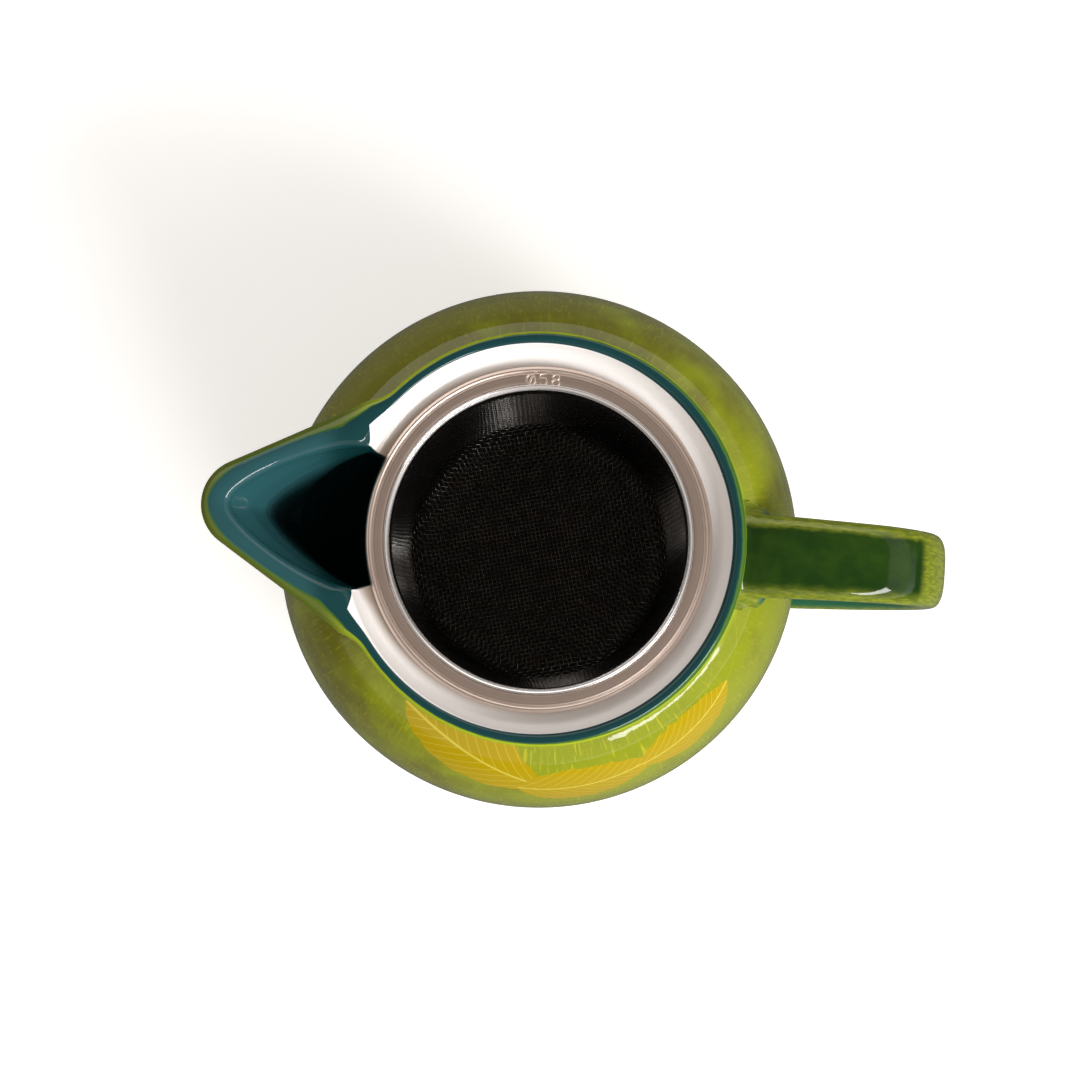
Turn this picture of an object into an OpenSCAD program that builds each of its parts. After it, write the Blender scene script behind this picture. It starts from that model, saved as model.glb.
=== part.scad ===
// Small porcelain pouring pot with an open beak spout, a strap handle and a lift-out strainer.
// Frame: origin on the pot's axis at the plane it stands on, +Z up, spout to -X, handle to +X.

/* [Body] */
// Height of the rim above the table
pot_h = 88; // [84:1:94]
// Largest radius of the belly
belly_r = 54.4; // [52:0.2:57]
// Height of the belly's widest level
belly_z = 43; // [38:1:46]
// Thickness of the fired wall
wall = 3.8; // [3:0.1:4.4]

/* [Foot] */
// Outer radius of the foot ring
foot_r = 31.5; // [28:0.5:34]
// Width of the flat that rests on the table
foot_w = 3.4; // [2.5:0.1:4.5]
// Height of the foot ring
foot_h = 3.6; // [3:0.1:4.5]

/* [Rim and lid seat] */
// Outer radius of the rim bead
rim_r = 40.3; // [40:0.1:41]
// Thickness of the rim bead
rim_bead = 2.7; // [2.4:0.1:3]
// Depth of the lid seat below the rim
seat_drop = 6.4; // [6.2:0.1:7]
// Outer radius of the flat seat
seat_r = 35.6; // [35:0.1:36]
// Radius of the mouth that the strainer hangs through
mouth_r = 30.6; // [30.6:0.1:31.2]

/* [Spout] */
// Reach of the spout's tip from the pot's axis
spout_reach = 65.2; // [62:0.2:68]
// Half the width of the spout's outside where it runs into the neck
spout_half_w = 25.6; // [24:0.2:27]
// Half the width of the opening between the lips
mouth_half_w = 14; // [12:0.2:15]
// Radius of the tip, seen from above
tip_r = 9; // [8:0.5:10]
// Thickness of the lip at the tip
lip_wall = 4.8; // [4:0.1:5.2]
// Rise of the tip above the rim
tip_rise = 1; // [0:0.5:2]
// Depth below the rim at which the spout's keel dies into the belly
spout_depth = 46; // [42:1:50]

/* [Handle] */
// Reach of the handle from the pot's axis
handle_reach = 83; // [80:0.5:86]
// Height of the strap's flat top
handle_top = 82.6; // [80:0.2:84]
// Width of the strap near the neck
strap_w = 16.6; // [15:0.2:18]
// Thickness of the strap
strap_t = 6.6; // [5.6:0.2:7.4]
// Height of the middle of the lower joint
handle_foot_z = 27; // [24:1:32]

/* [Strainer] */
// Inner radius of the clamp ring: the size the strainer is sold by is twice this
bezel_r = 29; // [28.8:0.1:29]
// Outer radius of the flange's rolled edge
flange_r = 33.95; // [33.4:0.05:34.4]
// Radius of the rolled edge's section
roll_r = 0.9; // [0.7:0.05:1]
// Depth of the wire cup below the seat
basket_depth = 45; // [38:1:48]
// Radius of the cup's flat bottom
basket_floor_r = 23; // [21:0.5:24]
// Thickness of the wire cloth
cloth_t = 0.4; // [0.35:0.05:0.4]

/* [Hidden] */
$fn = 96;
seat_z = pot_h - seat_drop;
bead_r = rim_bead / 2;
bead_c = [rim_r - bead_r, pot_h - bead_r];
neck_z = pot_h - 6.4;      // level of the neck's narrowest ring
neck_r = rim_r - 0.7;
shoulder = [44, pot_h - 11.6]; // where the neck's hollow turns into the shoulder
foot_top = [foot_r + 1.2, foot_h + 0.6];
floor_z = foot_h + 3.2;    // inside bottom, at the axis
ledge_t = 3;               // thickness of the ledge that carries lid and strainer
collar_r = mouth_r - 0.3;  // outside of the flange's collar
cloth_r = bezel_r + 0.45;  // inside of the cloth where it is clamped
collar_z = -3.5;           // lower end of collar and clamp, from the seat
plate_t = 0.6;             // sheet thickness of the flange
hollow_depth = 36;         // depth below the rim of the notch behind the spout
beak_n = 48;               // points round each outline of the spout

// Point at t on a cubic curve with four control points.
function bezier(p, t) =
    pow(1 - t, 3) * p[0] + 3 * t * pow(1 - t, 2) * p[1]
    + 3 * t * t * (1 - t) * p[2] + pow(t, 3) * p[3];
// Points along that curve, leaving out its start so that curves can be chained.
function curve(p, n) = [for (i = [1:n]) bezier(p, i / n)];
// Points round an arc about c, from angle a0 to a1, leaving out its start.
function arc(c, r, a0, a1, n) =
    [for (i = [1:n]) let (a = a0 + (a1 - a0) * i / n) c + r * [cos(a), sin(a)]];

// Outside of the pot from the foot's outer edge up to the top of the rim bead.
outer_line = concat(
    [[foot_r - 0.6, 0], [foot_r, 0.6], [foot_r, foot_h - 0.4], foot_top],
    curve([foot_top, [foot_r + 11, foot_h + 4], [belly_r, belly_z - 22], [belly_r, belly_z]], 12),
    curve([[belly_r, belly_z], [belly_r, belly_z + 15.5], [shoulder[0] + 5.5, shoulder[1] - 4.6],
        shoulder], 10),
    curve([shoulder, [shoulder[0] - 2.6, shoulder[1] + 1.8], [neck_r, neck_z - 3.2],
        [neck_r, neck_z]], 5),
    [[neck_r, neck_z + 1.2], [rim_r, bead_c[1] - 0.8]],
    arc(bead_c, bead_r, 0, 90, 5));

// Inside of the pot from the rim bead down to the middle of the floor.
inner_line = concat(
    arc(bead_c, bead_r, 90, 180, 5),
    [[seat_r + 0.7, seat_z + 1.2]],
    arc([seat_r + 1.2, seat_z + 1], 1, 195, 270, 3),
    [[seat_r, seat_z], [mouth_r + 0.4, seat_z], [mouth_r, seat_z - 0.4],
        [mouth_r, seat_z - ledge_t + 0.5], [mouth_r + 0.5, seat_z - ledge_t]],
    curve([[mouth_r + 0.5, seat_z - ledge_t], [neck_r - 2, seat_z - ledge_t - 0.5],
        [shoulder[0] - 3, shoulder[1] - wall - 0.5], [shoulder[0], shoulder[1] - wall - 2.5]], 5),
    curve([[shoulder[0], shoulder[1] - wall - 2.5], [belly_r - wall - 3, shoulder[1] - wall - 9],
        [belly_r - wall, belly_z + 10], [belly_r - wall, belly_z]], 8),
    curve([[belly_r - wall, belly_z], [belly_r - wall, belly_z - 21],
        [foot_r + 7, floor_z + 2], [foot_r - 4, floor_z + 0.6]], 12),
    [[0, floor_z]]);

// Underside inside the foot ring, back out to the flat that rests on the table.
under_line = [[0, foot_h], [foot_r - foot_w - 2, foot_h], [foot_r - foot_w - 0.6, foot_h - 1],
    [foot_r - foot_w - 0.6, 0.5], [foot_r - foot_w, 0]];

// The whole outside form, solid to the axis, that spout and handle are cut to meet.
module outside_form() {
    rotate_extrude() polygon(concat([[0, 0]], outer_line, [[0, pot_h]]));
}

// Point where the line with outward normal at angle a touches a rounded triangle. The triangle
// has its nose at -X, of radius r, and two base corners of radius b, a distance half_w off axis.
function beak_point(a, reach, half_w, r, base_x, b) =
    let (n = [cos(a), sin(a)],
        nose = [r - reach, 0],
        side = [-base_x, (half_w - b) * (n[1] < 0 ? -1 : 1)])
    nose * n + r > side * n + b ? nose + r * n : side + b * n;

// Outline of the spout's outside at depth d below the rim. t runs from 0 at the lip to 1.
function outside_ring(d, inset) =
    let (t = max(0, d) / spout_depth,
        reach = belly_r - 0.4 + (spout_reach - belly_r + 0.4) * pow(1 - t, 1.6) - inset,
        half_w = spout_half_w * (1 - 0.62 * t * t) - inset)
    [for (k = [0:beak_n - 1])
        let (p = beak_point(360 * (k + 0.5) / beak_n, reach, half_w, tip_r - inset, 30, 3))
        [p[0], p[1], pot_h - d + tip_lift(p[0], d)]];

// Outline of the spout's hollow at depth d below the rim.
function hollow_ring(d) =
    let (t = max(0, d) / hollow_depth,
        reach = belly_r - 10.5 + (spout_reach - lip_wall - belly_r + 10.5) * pow(1 - t, 0.8),
        half_w = mouth_half_w * (1 - 0.5 * t * t))
    [for (k = [0:beak_n - 1])
        let (p = beak_point(360 * (k + 0.5) / beak_n, reach, half_w, tip_r / 2, 36, half_w - 3))
        [p[0], p[1], pot_h - d]];

// How far the lip stands above the rim at x: nothing at the rim, tip_rise at the tip.
function tip_lift(x, d) =
    tip_rise * pow(max(0, (-x - rim_r) / (spout_reach - rim_r)), 2) * (d < 3 ? 1 - max(0, d) / 3 : 0);

// A closed solid through a list of rings of equal length, lowest ring first.
module loft(rings) {
    n = len(rings[0]);
    m = len(rings) - 1;
    sides = [for (i = [0:m - 1]) for (k = [0:n - 1])
        let (a = i * n + k, b = i * n + (k + 1) % n)
        each [[a, a + n, b + n], [a, b + n, b]]];
    ends = [[for (k = [0:n - 1]) k], [for (k = [n - 1:-1:0]) m * n + k]];
    polyhedron(points = [for (r = rings) each r], faces = concat(sides, ends), convexity = 6);
}

// Outside of the beak: wide at the lip, drawn down to a keel that dies into the belly.
module beak_outside() {
    loft(concat([for (i = [10:-1:0]) outside_ring(1.2 + (spout_depth - 1.2) * i / 10, 0)],
        [outside_ring(0.4, 0.35), outside_ring(0, 1.2)]));
}

// Hollow of the beak, open at the top, which also notches the pot's rim, seat and wall.
module beak_channel() {
    loft(concat([for (i = [8:-1:0]) hollow_ring((hollow_depth - 0.5) * i / 8)], [hollow_ring(-6)]));
}

// The handle's middle line in the X-Z plane, from inside the neck's wall to inside the belly's.
line_z = handle_top - strap_t / 2;
line_x = handle_reach - strap_t / 2;
handle_line = concat(
    [[neck_r - 1.6, line_z - 2.4]],
    curve([[neck_r - 1.6, line_z - 2.4], [neck_r + 5, line_z - 1.4], [neck_r + 8, line_z],
        [neck_r + 13, line_z]], 7),
    curve([[neck_r + 13, line_z], [line_x - 20, line_z], [line_x - 15, line_z],
        [line_x - 11, line_z - 1.6]], 4),
    curve([[line_x - 11, line_z - 1.6], [line_x - 4, line_z - 4.6], [line_x, line_z - 11],
        [line_x, line_z - 19]], 8),
    curve([[line_x, line_z - 19], [line_x, line_z - 35], [belly_r + 12, handle_foot_z + 5],
        [belly_r - 6, handle_foot_z]], 13));
handle_n = len(handle_line) - 1;
strap_sides = 20;

// How far a station's section swells where the strap is luted to the pot, from 0 to 1.
function root_swell(s) = pow(max(0, 1 - s / 0.16), 2) + pow(max(0, 1 - (1 - s) / 0.14), 2);
// Direction of the handle's line at station i.
function heading(i) =
    let (d = handle_line[min(i + 1, handle_n)] - handle_line[max(i - 1, 0)]) d / norm(d);
// One point of the strap's rounded-flat section, turned into the pot's frame.
function strap_point(i, k) =
    let (s = i / handle_n, a = 360 * k / strap_sides, swell = root_swell(s),
        w = strap_w / 2 * (1 - 0.16 * sin(180 * s)) + 3 * swell,
        t = strap_t / 2 + 1.6 * swell,
        y = w * sign(cos(a)) * pow(abs(cos(a)), 0.7),
        o = t * sign(sin(a)) * pow(abs(sin(a)), 0.7),
        d = heading(i), p = handle_line[i])
    [p[0] - d[1] * o, y, p[1] + d[0] * o];

module pot_body() {
    color([0.33, 0.36, 0.16])
        difference() {
            rotate_extrude() polygon(concat(outer_line, inner_line, under_line));
            beak_channel();
        }
}

module spout() {
    color([0.24, 0.4, 0.36])
        difference() {
            beak_outside();
            beak_channel();
            outside_form();
        }
}

module handle() {
    rings = [for (i = [0:handle_n]) for (k = [0:strap_sides - 1]) strap_point(i, k)];
    sides = [for (i = [0:handle_n - 1]) for (k = [0:strap_sides - 1])
        let (a = i * strap_sides + k, b = i * strap_sides + (k + 1) % strap_sides)
        [a, b, b + strap_sides, a + strap_sides]];
    ends = [[for (k = [strap_sides - 1:-1:0]) k],
        [for (k = [0:strap_sides - 1]) handle_n * strap_sides + k]];
    color([0.16, 0.24, 0.12])
        difference() {
            polyhedron(points = rings, faces = concat(sides, ends), convexity = 6);
            outside_form();
        }
}

module strainer_flange() {
    roll_c = [flange_r - roll_r, roll_r];
    color([0.5, 0.45, 0.41])
        translate([0, 0, seat_z])
            rotate_extrude()
                union() {
                    translate(roll_c) circle(r = roll_r);
                    translate([cloth_r + cloth_t, roll_r * 2 - plate_t])
                        square([roll_c[0] - cloth_r - cloth_t, plate_t]);
                    translate([cloth_r + cloth_t, collar_z])
                        square([collar_r - cloth_r - cloth_t, roll_r * 2 - collar_z]);
                }
}

module clamp_ring() {
    top = roll_r * 2;
    color([0.8, 0.79, 0.77])
        translate([0, 0, seat_z])
            rotate_extrude()
                polygon([[bezel_r, collar_z], [cloth_r, collar_z], [cloth_r, top],
                    [cloth_r + 0.85, top], [cloth_r + 0.85, top + 0.25],
                    [cloth_r + 0.6, top + 0.4], [bezel_r + 0.25, top - 0.2],
                    [bezel_r, top - 0.6]]);
}

module mesh_basket() {
    corner = 4.5;
    side_r = basket_floor_r + corner;
    bottom = -basket_depth;
    out = concat(
        [[0, bottom], [basket_floor_r, bottom]],
        arc([basket_floor_r, bottom + corner], corner, -90, 0, 6),
        [[cloth_r + cloth_t, collar_z - 1], [cloth_r + cloth_t, roll_r * 2]]);
    inside = concat(
        [[cloth_r, roll_r * 2], [cloth_r, collar_z - 1], [side_r - cloth_t, bottom + corner]],
        arc([basket_floor_r, bottom + corner], corner - cloth_t, 0, -90, 6),
        [[0, bottom + cloth_t]]);
    color([0.72, 0.7, 0.66])
        translate([0, 0, seat_z]) rotate_extrude() polygon(concat(out, inside));
}

pot_body();
spout();
handle();
strainer_flange();
clamp_ring();
mesh_basket();
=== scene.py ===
import math

import bpy
import numpy as np
from mathutils import Matrix, Vector


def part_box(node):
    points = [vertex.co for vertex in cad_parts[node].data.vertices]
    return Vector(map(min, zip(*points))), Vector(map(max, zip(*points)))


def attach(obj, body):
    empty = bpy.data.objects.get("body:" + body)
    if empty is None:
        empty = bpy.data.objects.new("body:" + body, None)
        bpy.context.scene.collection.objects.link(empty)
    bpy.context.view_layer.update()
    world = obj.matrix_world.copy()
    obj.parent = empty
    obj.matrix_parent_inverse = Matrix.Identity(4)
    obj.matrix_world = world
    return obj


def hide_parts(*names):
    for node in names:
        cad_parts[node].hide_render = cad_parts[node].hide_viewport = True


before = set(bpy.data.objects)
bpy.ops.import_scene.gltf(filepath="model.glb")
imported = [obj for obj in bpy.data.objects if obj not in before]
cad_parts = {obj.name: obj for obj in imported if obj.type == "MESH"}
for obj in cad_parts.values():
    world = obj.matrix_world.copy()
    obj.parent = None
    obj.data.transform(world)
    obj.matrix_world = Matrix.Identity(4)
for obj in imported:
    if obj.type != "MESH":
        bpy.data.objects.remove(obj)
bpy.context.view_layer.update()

# ---- The pot and its beak spout ---------------------------------------------------------------
# Slip-cast porcelain, fired twice. The pot has a turned foot, a round belly, a hollow neck and a
# beaded rim; inside the rim a ledge carries lid and strainer. The beak is cast apart and luted
# over a notch in the wall, so outside and inside run from one piece into the other.
MM = 0.001  # every length below is in millimetres, and becomes metres in make_piece

pot_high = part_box("pot_body")[1]
spout_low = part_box("spout")[0]
rim_z = pot_high.z / MM
belly_r = pot_high.y / MM
flange_top = 1.8       # the strainer's flat stands this far above the ledge it rests on
seat_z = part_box("strainer_flange")[1].z / MM - flange_top
beak_reach = -spout_low.x / MM + 1.6
bead = 1.35            # radius of the rim's bead
bead_z = rim_z - bead  # level of the bead's middle
rim_out, rim_in = 40.3, 37.6
notch_edge = 21.6      # half angle of the notch at the rim, in degrees
keel_depth, notch_depth = 46.0, 36.0


def bezier(points, count):
    """Points on a cubic curve, without its start."""
    p = np.array(points, float)
    t = np.linspace(0, 1, count + 1)[1:, None]
    return (1 - t) ** 3 * p[0] + 3 * t * (1 - t) ** 2 * p[1] + 3 * t * t * (1 - t) * p[2] + t ** 3 * p[3]


def eased(points, ease, steps):
    """A line with its inner corners rounded off; each curve starts at most ease before its corner."""
    line = [np.array(points[0], float)]
    for before, corner, after in zip(points, points[1:], points[2:]):
        a, c, b = (np.array(p, float) for p in (before, corner, after))
        la, lb = np.linalg.norm(a - c), np.linalg.norm(b - c)
        start = c + (a - c) / la * min(ease, 0.45 * la)
        stop = c + (b - c) / lb * min(ease, 0.45 * lb)
        for s in np.linspace(0, 1, steps + 1):
            line.append((1 - s) ** 2 * start + 2 * s * (1 - s) * c + s * s * stop)
    line.append(np.array(points[-1], float))
    return np.array(line)


def melt(a, b, width):
    """The larger of a and b, with the crease between them filled as by a fillet."""
    h = np.maximum(width - np.abs(a - b), 0) / width
    return np.maximum(a, b) + h * h * width / 4


def ramp(x, start, stop):
    """0 before start, 1 after stop, easing in and out between them."""
    t = np.clip((x - start) / (stop - start), 0, 1)
    return t * t * (3 - 2 * t)


def beak_radius(angle, z):
    """Distance from the axis to the beak's outside: a rounded nose with two straight flanks."""
    t = np.clip((rim_z - z) / keel_depth, 0, 1)
    past = np.maximum(rim_z - z - keel_depth, 0)
    reach = belly_r - 0.4 + (beak_reach - belly_r + 0.4) * (1 - t) ** 1.6 - 0.6 * past
    half_w = 25.6 * (1 - 0.62 * t * t)
    nose_r, base_r, base_x = 9.0, 3.0, 30.0
    nose = reach - nose_r
    dx, dy = nose - base_x, half_w - base_r
    flank = np.arctan2(dx, dy) + np.arcsin((nose_r - base_r) / np.hypot(dx, dy))
    a = np.abs(angle)
    tangent = np.arctan2(nose_r * np.sin(flank), nose + nose_r * np.cos(flank))
    round_part = nose * np.cos(a) + np.sqrt(np.maximum(nose_r ** 2 - (nose * np.sin(a)) ** 2, 0))
    straight = (nose * np.cos(flank) + nose_r) / np.cos(np.minimum(a, flank) - flank)
    return np.where(a < tangent, round_part, straight) - 29 * np.maximum(a - math.radians(32), 0)


def channel_radius(angle, z):
    """Distance from the axis to the wall of the channel inside the beak."""
    t = np.clip((rim_z - z) / notch_depth, 0, 1)
    reach = np.interp(rim_z - z, [0, 5, 9, 12, 20, 27, 36],
                      [beak_reach - 5, 56.6, 54.2, 53.6, 53, 51, 43.9])
    closing = 4 * np.maximum(rim_z - z - 40, 0)
    edge = math.radians(notch_edge) * (1 - 0.5 * t * t)
    blunt = math.radians(1.9)
    slope = (reach - rim_in) / (np.hypot(edge, blunt) - blunt)
    return reach + slope * (blunt - np.hypot(angle, blunt)) - closing


# The pot's profile, from under the middle of the foot, up the outside, over the rim and down
# inside to the middle of the floor. Each part keeps its own count of rows.
under_part = eased([(0, 3.6), (25.9, 3.6), (27.4, 2.4), (27.5, 0.0), (31.5, 0.0), (31.5, 3.7),
                    (32.7, 4.2)], 0.6, 3)
under_part = np.vstack([[(0.0, 3.6), (9.0, 3.6), (18.0, 3.6)], under_part[1:]])
belly_part = np.vstack([
    bezier([(32.7, 4.2), (42.5, 7.6), (belly_r, 21), (belly_r, 43)], 30),
    bezier([(belly_r, 43), (belly_r, 58.5), (49.5, rim_z - 16.2), (44, rim_z - 11.6)], 32),
    bezier([(44, rim_z - 11.6), (43, rim_z - 10.95), (41.8, rim_z - 10.3), (41, rim_z - 9.95)], 8),
    bezier([(41, rim_z - 9.95), (39.9, rim_z - 9.45), (39.6, rim_z - 8.6), (39.6, rim_z - 6.4)], 8),
    bezier([(39.6, rim_z - 6.4), (39.6, rim_z - 4.2), (rim_out, bead_z - 1.4), (rim_out, bead_z)], 8)])
turn = np.radians(np.linspace(0, 180, 17))[1:]
lip_part = np.column_stack([rim_out - bead + bead * np.cos(turn), bead_z + bead * np.sin(turn)])
ledge_part = eased([(rim_in, bead_z), (rim_in - 0.5, bead_z - 2.0), (36.1, seat_z), (30.6, seat_z),
                    (30.6, seat_z - 3), (36.5, seat_z - 3.3), (41.5, rim_z - 13.4),
                    (44, rim_z - 17.9)], 0.9, 4)[1:]
wall_part = np.vstack([
    bezier([(44, rim_z - 17.9), (47.6, rim_z - 20.6), (50.6, 53), (50.6, 43)], 30),
    bezier([(50.6, 43), (50.6, 22), (38.5, 8.8), (27.5, 7.4)], 20),
    [(19.0, 7.0), (10.0, 6.8), (0.0, 6.8)]])
parts = [under_part, belly_part, lip_part, ledge_part, wall_part]
profile = np.vstack(parts)
part_of_row = np.repeat(np.arange(5), [len(p) for p in parts])
row_r, row_z = profile[:, 0], profile[:, 1]
n_rows = len(profile)
first_lip = len(under_part) + len(belly_part)
first_ledge = first_lip + len(lip_part)
first_wall = first_ledge + len(ledge_part)
crest_row = first_lip + 7

# Columns are packed closer round the beak: half_block of them reach from its middle to its seam,
# then edge_columns turn the corner of the notch, and the rest go on round to the handle.
half_block, edge_columns, rest_columns = 48, 8, 132
u = np.arange(half_block + 1) / half_block
block_share = 0.75 * u + 0.25 * u ** 3
seam_z = [0, 20, 44, 50, 62, 70, 76, 80, 90]
seam_deg = [30, 30, 4, 6, 13.5, 20.5, 28, 35, 37]
seam = np.interp(row_z, seam_z, seam_deg)
depth_share = np.clip((rim_z - row_z) / notch_depth, 0, 1)
inner_seam = notch_edge * (1 - 0.5 * depth_share ** 2)
deep_rows = row_z < 57
deep_seam = np.interp(row_z, [0, 25, 57], [30, 30, inner_seam[deep_rows].max()])
inner_seam = np.where(deep_rows, deep_seam, inner_seam)
lip_share = np.clip((np.arange(n_rows) - first_lip + 1) / 16.0, 0, 1)
notch_z = row_z.copy()
ledge_rows = slice(first_ledge, first_wall)
notch_z[ledge_rows] = np.linspace(bead_z, row_z[first_wall - 1], len(ledge_part) + 1)[1:]
deep = np.clip((rim_z - notch_z) / notch_depth, 0, 1)
inner_seam[ledge_rows] = (notch_edge * (1 - 0.5 * deep ** 2))[ledge_rows]
seam = np.where(part_of_row >= 2, seam[first_lip - 1] * (1 - lip_share) + inner_seam * lip_share, seam)
seam = np.where(part_of_row == 0, 30, seam)

half = np.zeros((n_rows, half_block + edge_columns + rest_columns + 1))
half[:, : half_block + 1] = seam[:, None] * block_share
corner = 1.1
turn_share = np.linspace(0, 1, edge_columns + 1)
half[:, half_block : half_block + edge_columns + 1] = seam[:, None] + corner * turn_share
past = seam + corner
rest_share = np.linspace(0, 1, rest_columns + 1)
half[:, half_block + edge_columns :] = past[:, None] + (180 - past)[:, None] * rest_share
angle = np.radians(np.hstack([-half[:, :0:-1], half[:, :-1]]))  # from -180 up to just short of +180
n_cols = angle.shape[1]
middle = n_cols - (half.shape[1] - 1)
block = (middle - half_block, middle + half_block)
notch = np.zeros(n_cols)
notch[block[0] : block[1] + 1] = 1
fade = 1 - ramp(np.linspace(0, 1, edge_columns + 1), 0, 1)
notch[block[1] : block[1] + edge_columns + 1] = fade
notch[block[0] - edge_columns : block[0] + 1] = fade[::-1]

r = np.repeat(row_r[:, None], n_cols, 1)
z = np.repeat(row_z[:, None], n_cols, 1)
outside = part_of_row == 1
crease = 3.0 + 1.2 * ramp(row_z, 74, 84)
r[outside] = melt(r[outside], beak_radius(angle[outside], z[outside]), crease[outside][:, None])
inside = part_of_row >= 3
nz = np.repeat(notch_z[:, None], n_cols, 1)
wall_r = np.interp(nz[inside], [0, 43, 60, rim_z - 17.9, rim_z - 13.4, rim_z - 9.7, rim_z - 8.6, 99],
                   [50.6, 50.6, 48.6, 44, 41.5, 36.5, 31, 31])
wall_r = np.where(part_of_row[inside][:, None] == 4, r[inside], wall_r)
cut_r = melt(channel_radius(angle[inside], nz[inside]), wall_r, 2.0)
r[inside] = notch * cut_r + (1 - notch) * r[inside]
z[inside] = notch * nz[inside] + (1 - notch) * z[inside]
lip = part_of_row == 2
lip_out = melt(rim_out + 0 * angle, beak_radius(angle, bead_z), 4.2)
lip_in = melt(channel_radius(angle, bead_z), rim_in + 0 * angle, 0.8)
half_lip = (lip_out - lip_in) / 2
arc = np.zeros(n_rows)
arc[first_lip:first_ledge] = turn
r[lip] = ((lip_out + lip_in) / 2 + half_lip * np.cos(arc)[:, None])[lip]
z[lip] = (bead_z + (bead + 0.3 * (half_lip - bead)) * np.sin(arc)[:, None])[lip]
forward = (lip_out + lip_in) / 2 * np.cos(angle)
lift = 1.0 * np.clip((forward - rim_out) / (beak_reach - rim_out), 0, 1) ** 2
z += lift * ramp(z, 73, 86) * (part_of_row > 0)[:, None]
beak_turn = math.radians(-1.1)  # the beak sits this far off the axis of symmetry, as luted by hand
heading = angle + beak_turn
surface = np.stack([-r * np.cos(heading), -r * np.sin(heading), z], 2)

# How far each point lies from the crest of the lip, along the glazed surface: plus outside.
steps = np.linalg.norm(np.diff(surface, axis=0), axis=2)
run = np.vstack([np.zeros((1, n_cols)), np.cumsum(steps, 0)])
run = run[crest_row] - run


def grid_normals(p):
    """Unit normals of the whole surface, so that its two pieces are shaded as one."""
    along = np.empty_like(p)
    along[1:-1] = p[2:] - p[:-2]
    along[0], along[-1] = p[1] - p[0], p[-1] - p[-2]
    around = np.roll(p, -1, 1) - np.roll(p, 1, 1)
    n = np.cross(around, along)
    length = np.linalg.norm(n, axis=2, keepdims=True)
    n = n / np.maximum(length, 1e-12)
    n[0], n[-1] = (0, 0, -1), (0, 0, 1)
    return n


def make_piece(name, points, faces, normals=None, marks=None):
    """A mesh piece from points in millimetres. normals are per point and hold where a face is smooth;
    marks are named values per point, which the materials read."""
    mesh = bpy.data.meshes.new(name)
    mesh.from_pydata((np.asarray(points) * MM).tolist(), [], [list(f) for f in faces])
    for key, values in (marks or {}).items():
        values = np.asarray(values, np.float32)
        kind = "FLOAT" if values.ndim == 1 else "FLOAT_VECTOR"
        field = mesh.attributes.new(key, kind, "POINT")
        field.data.foreach_set("value" if values.ndim == 1 else "vector", values.ravel())
    mesh.polygons.foreach_set("use_smooth", [True] * len(mesh.polygons))
    mesh.update()
    if normals is not None:
        loops = np.zeros(len(mesh.loops), np.int32)
        mesh.loops.foreach_get("vertex_index", loops)
        wanted = np.asarray(normals)[loops]
        starts = np.zeros(len(mesh.polygons), np.int32)
        totals = np.zeros(len(mesh.polygons), np.int32)
        flat = np.zeros(len(mesh.polygons) * 3)
        mesh.polygons.foreach_get("loop_start", starts)
        mesh.polygons.foreach_get("loop_total", totals)
        mesh.polygons.foreach_get("normal", flat)
        flat = np.repeat(flat.reshape(-1, 3), totals, 0)
        cap = (wanted * flat).sum(1) < 0.3
        wanted[cap] = flat[cap]
        mesh.normals_split_custom_set(wanted.tolist())
    piece = bpy.data.objects.new(name, mesh)
    bpy.context.scene.collection.objects.link(piece)
    return piece


normals = grid_normals(surface)
sweep = heading + math.pi
from_front = (np.degrees(sweep) + 90 + 180) % 360 - 180  # azimuth from -Y, where the leaves are
leaf_u = 47.0 * np.radians(from_front)
leaf_v = np.where(np.abs(from_front) > 115, -100, run)
marks_grid = {
    "run": run,
    "notch": np.repeat(notch[None], n_rows, 0),
    "wrap": np.stack([47 * np.cos(sweep), 47 * np.sin(sweep), run], 2),
    "leaf": np.stack([leaf_u, leaf_v, 0 * run], 2)}

top_row = first_wall + 13            # the block ends inside on this row,
low_row = int(np.argmax((part_of_row == 1) & (row_z > 45)))  # and outside on this one
keep = np.ones((n_rows, n_cols), bool)
keep[0, 1:] = keep[-1, 1:] = False  # the two poles are one point each
index = np.arange(n_rows * n_cols).reshape(n_rows, n_cols)
index[0, :], index[-1, :] = index[0, 0], index[-1, 0]


def skin(rows, cols):
    """Faces of the surface over these rows and columns; columns go round past the end."""
    faces = []
    for i in rows:
        for j in cols:
            k = (j + 1) % n_cols
            quad = [index[i, j % n_cols], index[i, k], index[i + 1, k], index[i + 1, j % n_cols]]
            faces.append([q for n, q in enumerate(quad) if q not in quad[:n]])
    return faces


def ladder(first, second):
    """Faces between two lines of points, which may differ in count."""
    faces, count = [], max(len(first), len(second)) - 1
    f = [first[round(k * (len(first) - 1) / count)] for k in range(count + 1)]
    s = [second[round(k * (len(second) - 1) / count)] for k in range(count + 1)]
    for k in range(count):
        quad = [f[k], f[k + 1], s[k + 1], s[k]]
        face = [q for n, q in enumerate(quad) if q not in quad[:n]]
        if len(face) > 2:
            faces.append(face)
    return faces


block_rows, block_cols = range(low_row, top_row), range(block[0], block[1])
flat_points = surface.reshape(-1, 3)
flat_normals = normals.reshape(-1, 3)


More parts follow.
